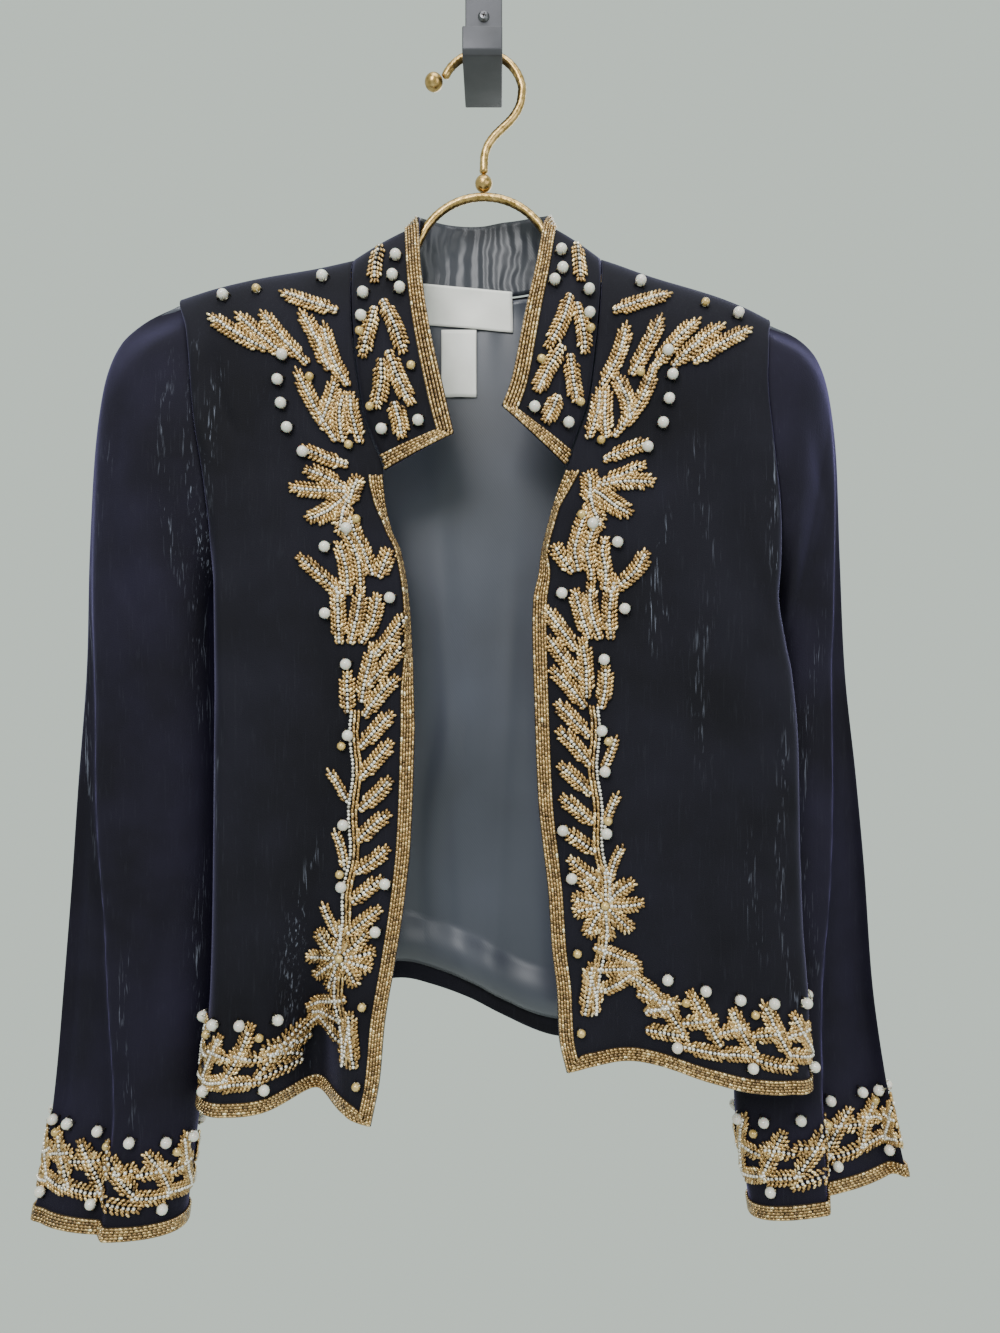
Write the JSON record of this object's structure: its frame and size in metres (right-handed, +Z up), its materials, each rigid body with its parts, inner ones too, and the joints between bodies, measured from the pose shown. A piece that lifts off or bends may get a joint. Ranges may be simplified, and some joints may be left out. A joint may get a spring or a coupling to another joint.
{
  "type": "beaded velvet evening blazer on a hanger and wall hook",
  "caption": "Cropped open-front velvet evening blazer with standing notched band collar, padded set-in sleeves and beaded leaf borders, on a metal hanger and flat wall hook",
  "frame": {"origin": "centre of the wall hook's flat back face, where it is fastened to a wall", "axes": "+Y out of the back face into the wall, -Y the way the blazer faces, +Z up, +X to the wearer's left"},
  "size_m": [0.607, 0.0993, 0.8723],
  "materials": {
    "velvet": "black silk velvet pile, crushed nap",
    "bead_trim": "rows of bronze and gold glass bugle beads",
    "satin_lining": "charcoal satin lining",
    "label_cloth": "off-white woven label, blank",
    "hanger_metal": "satin gold plated, lightly hammered",
    "hook_metal": "dark grey powder coat"
  },
  "bodies": {
    "root": {"front_right": "velvet", "front_left": "velvet", "back": "velvet", "sleeve_right": "velvet", "sleeve_left": "velvet", "collar": "velvet", "trim_front_right": "bead_trim", "trim_front_left": "bead_trim", "trim_back": "bead_trim", "trim_collar": "bead_trim", "trim_cuff_right": "bead_trim", "trim_cuff_left": "bead_trim", "lining_back": "satin_lining", "neck_label": "label_cloth", "care_label": "label_cloth", "hanger": "hanger_metal", "hanger_hook": "hanger_metal", "hanger_ball": "hanger_metal", "hanger_tip": "hanger_metal", "wall_hook": "hook_metal", "screw": "hook_metal"}
  },
  "joints": []
}
